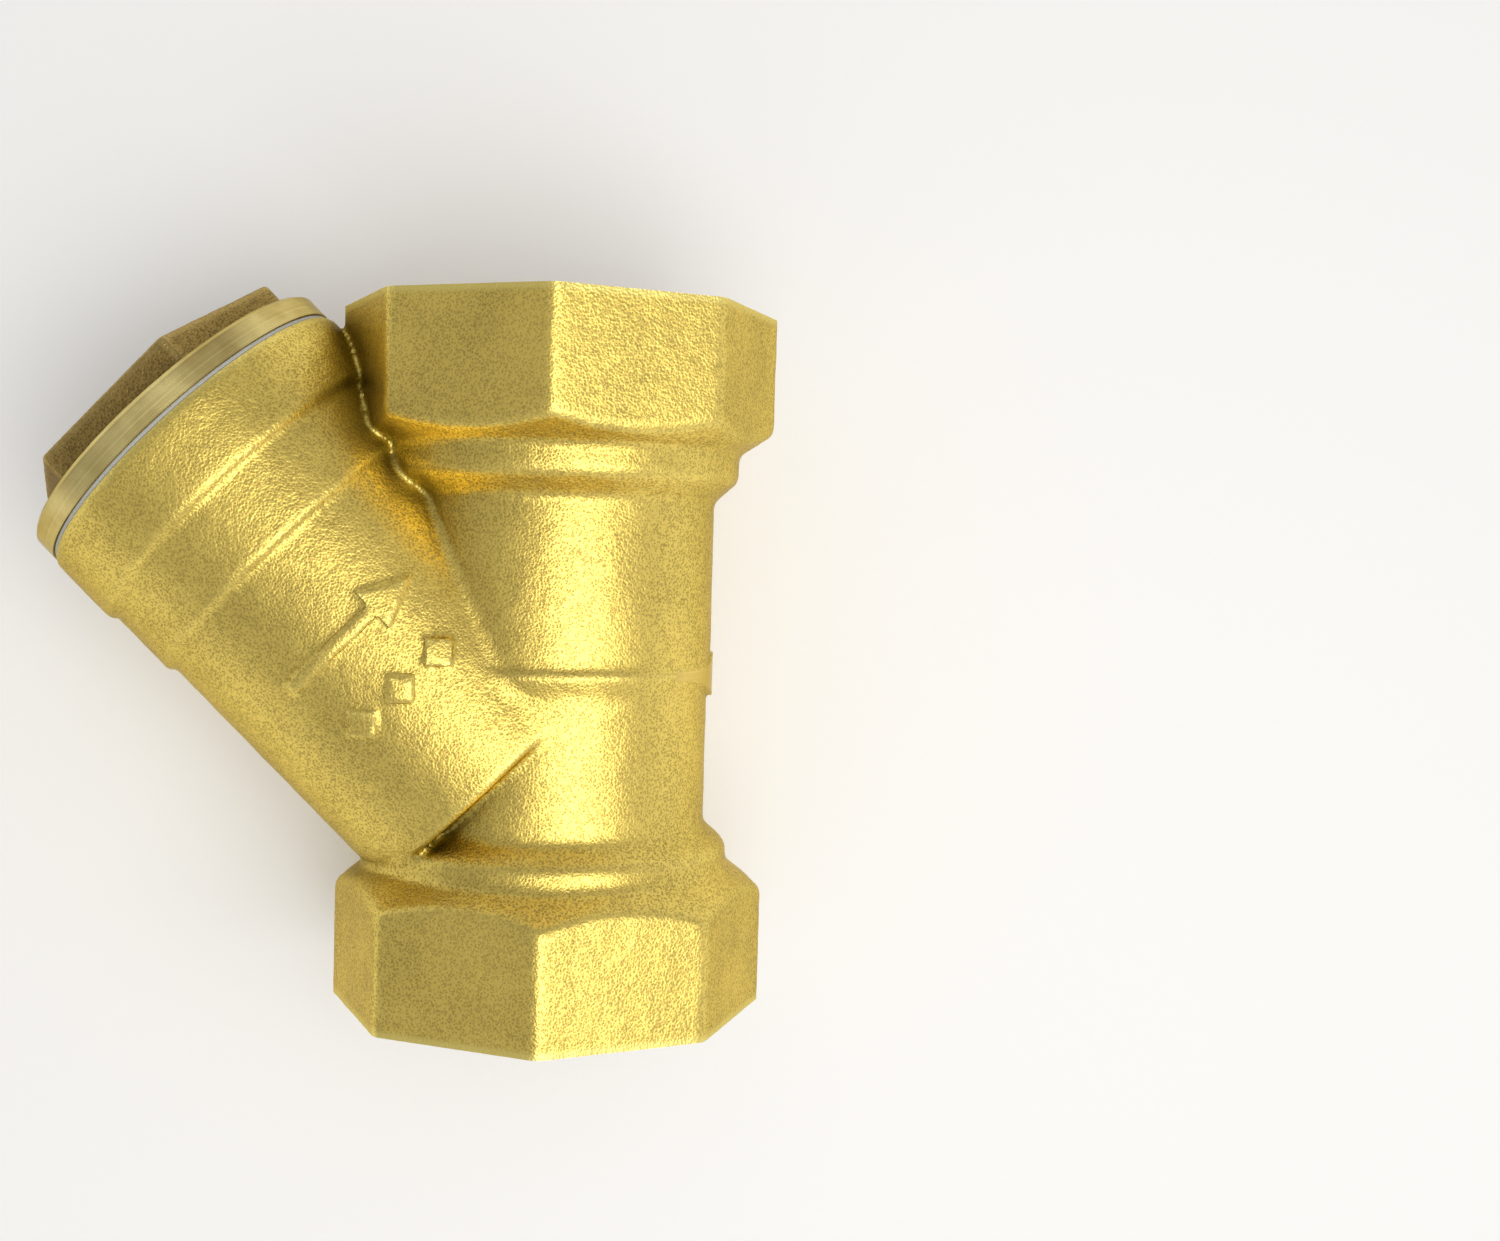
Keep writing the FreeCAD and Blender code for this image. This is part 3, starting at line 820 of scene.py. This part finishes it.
def perforated_tube():
    """A rolled sheet with staggered round holes, as one closed skin on the Y axis."""
    half_column = math.pi / SHEET_COLUMNS
    third_row = (SCREEN_END - SCREEN_START - 2 * SHEET_RIM) / (3 * SHEET_ROWS + 1)
    first = SCREEN_START + SHEET_RIM + 2 * third_row
    points, faces, known = [], [], {}

    def place(turn, along, layer):
        radius = (SCREEN_OUTER, SCREEN_INNER)[layer]
        points.append((radius * math.cos(turn), along, -radius * math.sin(turn)))
        return len(points) - 1

    def corner(halves, thirds, layer):
        """A corner shared by neighbouring cells. At the sheet's ends, thirds is a name."""
        key = halves % (2 * SHEET_COLUMNS), thirds, layer
        if key not in known:
            ends = {"start": SCREEN_START, "end": SCREEN_END}
            along = ends[thirds] if thirds in ends else first + thirds * third_row
            known[key] = place(halves * half_column, along, layer)
        return known[key]

    around = [(0, 2), (-1, 1), (-1, -1), (0, -2), (1, -1), (1, 1)]
    for row in range(SHEET_ROWS):
        for column in range(SHEET_COLUMNS):
            halves, thirds = 2 * column + row % 2, 3 * row
            rims = []
            for layer in (0, 1):
                cell = [corner(halves + dx, thirds + dy, layer) for dx, dy in around]
                rim = []
                for k in range(HOLE_SIDES):
                    angle = math.radians(90 + 360 / HOLE_SIDES * k)
                    turn = halves * half_column + HOLE_RADIUS / SCREEN_OUTER * math.cos(angle)
                    along = first + thirds * third_row + HOLE_RADIUS * math.sin(angle)
                    rim.append(place(turn, along, layer))
                rims.append(rim)
                for k in range(6):
                    a, b = cell[k], cell[(k + 1) % 6]
                    c, d, e = rim[2 * k], rim[2 * k + 1], rim[(2 * k + 2) % HOLE_SIDES]
                    for face in ((a, d, c), (a, b, d), (b, e, d)):
                        faces.append(face if layer else face[::-1])
            for k in range(HOLE_SIDES):
                after = (k + 1) % HOLE_SIDES
                faces.append((rims[0][k], rims[0][after], rims[1][after], rims[1][k]))
    last = SHEET_ROWS - 1
    for column in range(SHEET_COLUMNS):
        for end, row, side in (("start", 0, -1), ("end", last, 1)):
            halves, thirds = 2 * column + row % 2, 3 * row
            zigzag = [(-1, side), (0, 2 * side), (1, side)]
            for (x0, y0), (x1, y1) in zip(zigzag, zigzag[1:]):
                edge = []
                for layer in (0, 1):
                    a = corner(halves + x0, thirds + y0, layer)
                    b = corner(halves + x1, thirds + y1, layer)
                    c = corner(halves + x1, end, layer)
                    d = corner(halves + x0, end, layer)
                    face = (a, b, c, d) if (side > 0) == (layer > 0) else (d, c, b, a)
                    faces.append(face[::-1])
                    edge += [d, c]
                face = (edge[0], edge[1], edge[3], edge[2])
                faces.append(face[::-1] if side > 0 else face)
    return new_object("screen_sheet", points, faces, STEEL)


def make_screen():
    sheet = facing_out(perforated_tube())
    strip = [
        (SCREEN_START, LAP_INNER),
        (SCREEN_END, LAP_INNER),
        (SCREEN_END, SCREEN_INNER + 0.1),
        (SCREEN_START, SCREEN_INNER + 0.1),
    ]
    lap = facing_out(swept_ring("lap", strip, STEEL))
    keep = block("lap_width", (-LAP_HALF_WIDTH, 0, 10), (LAP_HALF_WIDTH, 70, 20), STEEL)
    worked(sheet, worked(lap, keep, "INTERSECT"), "UNION")
    placed(sheet, LEG_FRAME)
    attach(finished(sheet), "screen")
    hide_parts("screen")


# The floor, the light and the camera.

LOW_EDGE = -27.06  # the lowest edge of the two octagons
LEG_LOW = (-44.5, -22.5)  # across and height of the lowest place on the leg's end
FLOOR_TILT = math.atan2(LEG_LOW[1] - LOW_EDGE, -LEG_LOW[0])
FLOOR_REACH = 3000.0
FLOOR_GAP = 0.02
CENTRE = (-15, 45, 0)  # where the key light points


def make_floor():
    n = material_nodes("floor")
    # The glow starts beyond the object, and keeps the far floor from turning grey.
    away = n.add("ShaderNodeVectorMath", Vector=n.place)
    away.operation = "LENGTH"
    glow = n.between(away.outputs["Value"], 0.25, 0.9, 0.1, 0.42)
    white = (0.93, 0.93, 0.93, 1)
    pale = n.shade(
        Base_Color=white, Roughness=0.9, Emission_Color=(1, 1, 1, 1), Emission_Strength=glow
    )
    reach = FLOOR_REACH
    corners = [(-reach, -reach), (reach, -reach), (reach, reach), (-reach, reach)]
    points = [(x, y, 0) for x, y in corners]
    floor = new_object("floor", points, [(0, 1, 2, 3)], pale)
    tilt = Matrix.Rotation(FLOOR_TILT, 4, "Y")
    placed(floor, Matrix.Translation((0, 0, LOW_EDGE - FLOOR_GAP)) @ tilt)
    placed(floor, Matrix.Scale(MM, 4))


def make_light(name, place, target, size, power, colour):
    data = bpy.data.lights.new(name, "AREA")
    data.shape = "RECTANGLE"
    data.size, data.size_y = size[0] * MM, size[1] * MM
    data.energy = power
    data.color = colour
    obj = bpy.data.objects.new(name, data)
    obj.location = Vector(place) * MM
    toward = Vector(target) - Vector(place)
    obj.rotation_mode = "QUATERNION"
    obj.rotation_quaternion = toward.to_track_quat("-Z", "Y")
    bpy.context.scene.collection.objects.link(obj)


def make_world(bright_side, low, high):
    """A soft studio: brightest on one side and fading to the other."""
    n = Nodes(bpy.data.worlds.new("studio"), "Background", "Generated")
    side = n.tree.nodes.new("ShaderNodeVectorMath")
    side.operation = "DOT_PRODUCT"
    n.tree.links.new(n.place, side.inputs[0])
    side.inputs[1].default_value = Vector(bright_side).normalized()
    height = n.add("ShaderNodeSeparateXYZ", Vector=n.place).outputs["Z"]
    glow = n.between(height, 0.0, 0.4, 0.45, 0.0)
    strength = n.math("ADD", n.between(side.outputs["Value"], 0.0, 0.95, low, high), glow)
    bpy.context.scene.world = n.shade(Color=(1, 0.99, 0.97, 1), Strength=strength)


def make_camera():
    data = bpy.data.cameras.new("camera")
    data.lens = 39.63
    data.sensor_width = 36
    data.shift_x = 0.05
    data.clip_start, data.clip_end = 0.01, 20
    camera = bpy.data.objects.new("camera", data)
    turn = Vector((-0.051, -0.038, 0.027))
    place = Matrix.Translation(Vector((7.068, 58.603, 208.171)) * MM)
    camera.matrix_world = place @ Matrix.Rotation(turn.length, 4, turn)
    bpy.context.scene.collection.objects.link(camera)
    bpy.context.scene.camera = camera


make_body()
make_cap()
make_gasket()
make_screen()

# Standard keeps the brass as yellow as in the photograph, where AgX turns it pale.
bpy.context.scene.view_settings.view_transform = "Standard"
make_floor()
make_world((0.55, -0.35, 0.75), 0.38, 0.60)
make_light("key", (140, -30, 405), CENTRE, (360, 360), 0.98, (1.0, 0.98, 0.95))
make_camera()
